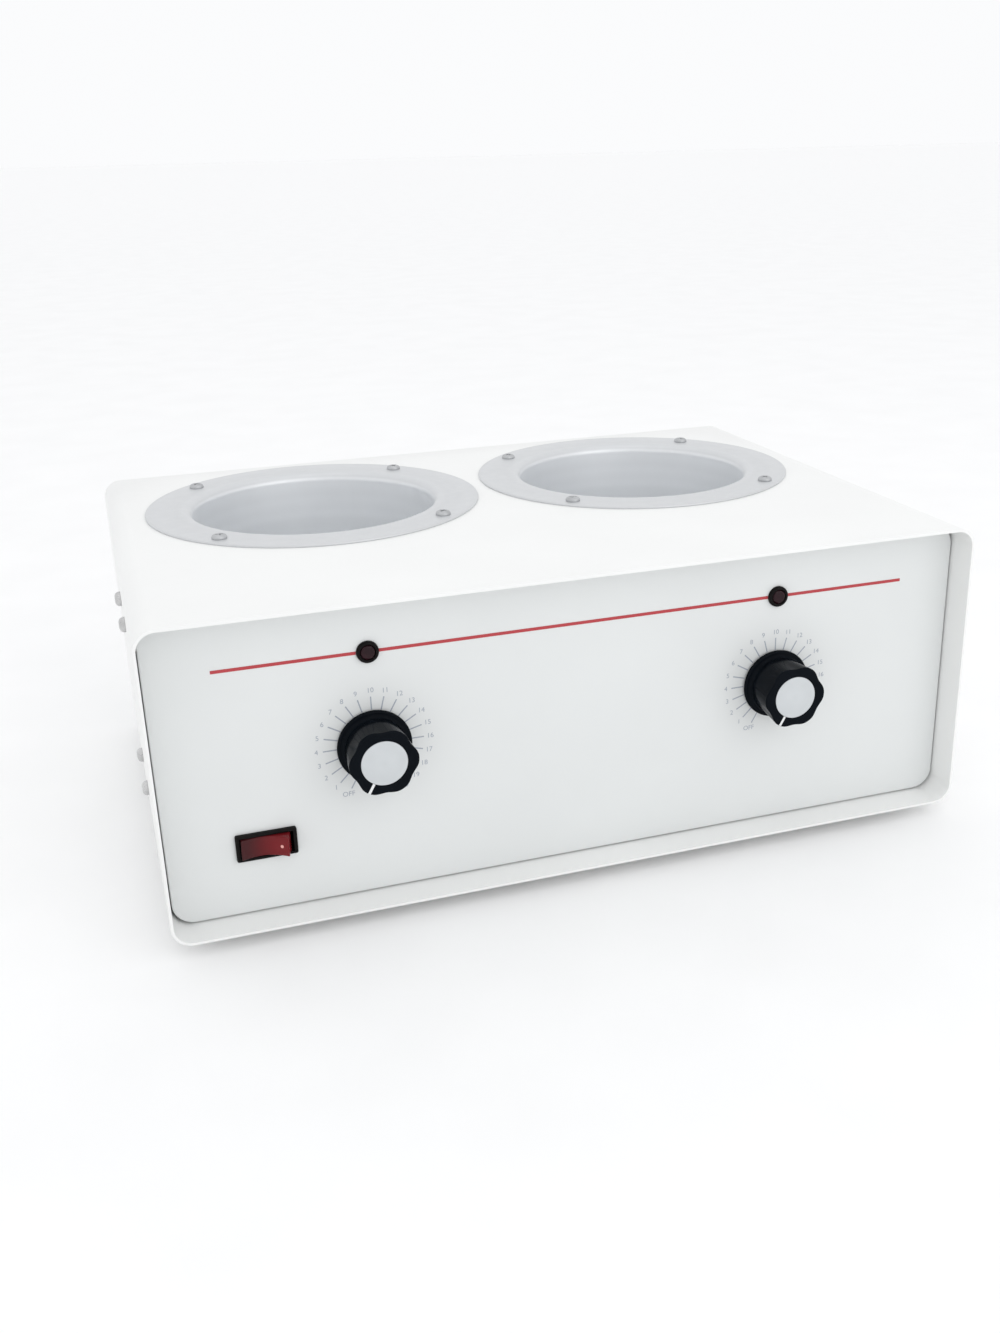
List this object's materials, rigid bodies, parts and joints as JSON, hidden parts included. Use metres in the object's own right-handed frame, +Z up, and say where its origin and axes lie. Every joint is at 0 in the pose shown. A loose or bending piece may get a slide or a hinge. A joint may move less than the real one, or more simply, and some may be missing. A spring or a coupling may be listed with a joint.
{
  "type": "double wax warmer",
  "caption": "White sheet-metal wax warmer with twin aluminium pots sunk in its top, a dial and pilot light for each pot, and a dark red rocker switch on a recessed front panel.",
  "frame": {"origin": "middle of the bounding box at the table surface", "axes": "+X to the right seen from the front, +Y to the rear, +Z up; the front panel faces -Y"},
  "size_m": [0.3552, 0.2522, 0.139],
  "materials": {
    "white_powder_coat": "satin powder coat",
    "panel_powder_coat": "satin powder coat",
    "zinc_sheet": "zinc-plated sheet",
    "bright_screws": "nickel-plated",
    "zinc_hardware": "zinc-plated",
    "red_print": "screen-printed ink",
    "satin_aluminium": "spun, satin",
    "dark_screws": "dark, oiled",
    "mica_heater": "steel-clad mica band",
    "glass_wrap": "woven glass fibre",
    "brown_phenolic": "moulded",
    "black_moulding": "moulded, fine texture",
    "bright_shaft": "turned",
    "gloss_black": "moulded, gloss",
    "silver_disc": "spun disc",
    "white_inlay": "filled line",
    "red_lens": "dark red, clear",
    "brass_terminals": "stamped",
    "red_rocker": "translucent dark red",
    "green_board": "solder-masked laminate",
    "yellow_tape": "wound coil with tape",
    "blue_case": "moulded",
    "green_block": "moulded",
    "brown_insulation": "soft insulation",
    "white_insulation": "braided glass sleeve",
    "red_insulation": "soft insulation",
    "foot_rubber": "moulded"
  },
  "bodies": {
    "case": {"case_sleeve": "white_powder_coat", "front_panel": "panel_powder_coat", "rear_panel": "panel_powder_coat", "left_chassis_plate": "zinc_sheet", "right_chassis_plate": "zinc_sheet", "side_screws": "bright_screws", "front_panel_nuts": "zinc_hardware", "rear_panel_screws": "bright_screws", "red_stripe": "red_print", "left_pot": "satin_aluminium", "right_pot": "satin_aluminium", "pot_screws": "dark_screws", "left_heater_band": "mica_heater", "right_heater_band": "mica_heater", "band_screws": "zinc_hardware", "left_insulation": "glass_wrap", "right_insulation": "glass_wrap", "left_cutout": "brown_phenolic", "right_cutout": "brown_phenolic", "left_sensor": "black_moulding", "right_sensor": "black_moulding", "left_control": "zinc_hardware", "right_control": "zinc_hardware", "control_nuts": "zinc_hardware", "left_light": "black_moulding", "left_light_lens": "red_lens", "right_light": "black_moulding", "right_light_lens": "red_lens", "light_nuts": "black_moulding", "switch_housing": "black_moulding", "switch_blades": "brass_terminals", "power_inlet": "black_moulding", "inlet_pins": "brass_terminals", "inlet_screws": "zinc_hardware", "earth_stud": "brass_terminals", "control_board": "green_board", "board_transformer": "yellow_tape", "board_relays": "blue_case", "board_capacitors": "blue_case", "heat_sink": "zinc_sheet", "terminal_block": "green_block", "board_standoffs": "zinc_hardware", "board_screws": "zinc_hardware", "mains_leads": "brown_insulation", "heater_leads": "white_insulation", "signal_leads": "red_insulation", "feet": "foot_rubber", "foot_screws": "zinc_hardware"},
    "left_dial": {"left_shaft": "bright_shaft", "left_knob": "gloss_black", "left_knob_cap": "silver_disc", "left_pointer": "white_inlay", "left_knob_screw": "dark_screws"},
    "right_dial": {"right_shaft": "bright_shaft", "right_knob": "gloss_black", "right_knob_cap": "silver_disc", "right_pointer": "white_inlay", "right_knob_screw": "dark_screws"},
    "power_rocker": {"switch_rocker": "red_rocker"}
  },
  "joints": [
    {"name": "left_dial_turn", "type": "hinge", "parent": "case", "child": "left_dial", "pos_m": [-0.0885, -0.10675, 0.0728], "axis": [0, 1, 0], "range_deg": [0, 300]},
    {"name": "right_dial_turn", "type": "hinge", "parent": "case", "child": "right_dial", "pos_m": [0.0885, -0.10675, 0.0728], "axis": [0, 1, 0], "range_deg": [0, 300]},
    {"name": "power_rocker_tip", "type": "hinge", "parent": "case", "child": "power_rocker", "pos_m": [-0.1342, -0.10525, 0.0373], "axis": [0, 0, 1], "range_deg": [0, 20]}
  ]
}
